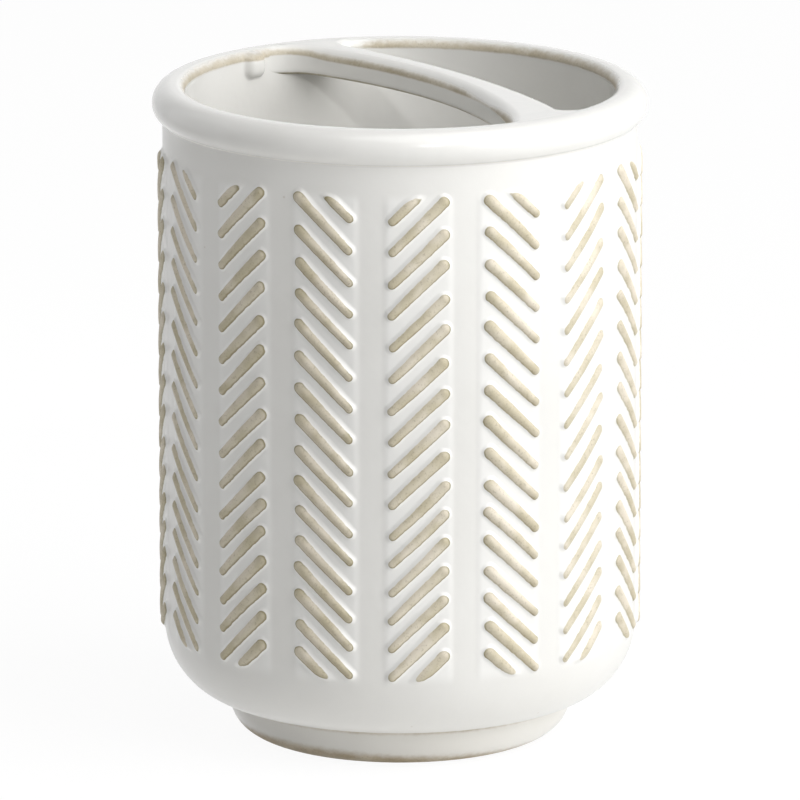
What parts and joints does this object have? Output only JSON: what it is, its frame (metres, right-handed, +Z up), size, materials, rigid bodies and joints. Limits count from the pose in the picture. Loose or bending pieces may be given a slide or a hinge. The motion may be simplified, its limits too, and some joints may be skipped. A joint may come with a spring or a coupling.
{
  "type": "toothbrush holder",
  "caption": "Round glazed stoneware toothbrush holder with a herringbone relief, a rolled rim, a foot ring and a curved bar that divides the mouth.",
  "frame": {"origin": "centre of the foot, on the plane that it rests on", "axes": "+Z up along the cup's axis; the dividing bar runs along X, bowed towards +Y, and the smaller mouth is on the +Y side"},
  "size_m": [0.082, 0.082, 0.11],
  "materials": {
    "white_glaze": "glossy",
    "foot_glaze": "glossy",
    "relief_glaze": "satin"
  },
  "bodies": {
    "root": {"cast_body": "white_glaze", "rolled_rim": "white_glaze", "divider_bridge": "white_glaze", "foot_ring": "foot_glaze", "rib_column_01": "relief_glaze", "rib_column_02": "relief_glaze", "rib_column_03": "relief_glaze", "rib_column_04": "relief_glaze", "rib_column_05": "relief_glaze", "rib_column_06": "relief_glaze", "rib_column_07": "relief_glaze", "rib_column_08": "relief_glaze", "rib_column_09": "relief_glaze", "rib_column_10": "relief_glaze", "rib_column_11": "relief_glaze", "rib_column_12": "relief_glaze", "rib_column_13": "relief_glaze", "rib_column_14": "relief_glaze", "rib_column_15": "relief_glaze", "rib_column_16": "relief_glaze"}
  },
  "joints": []
}
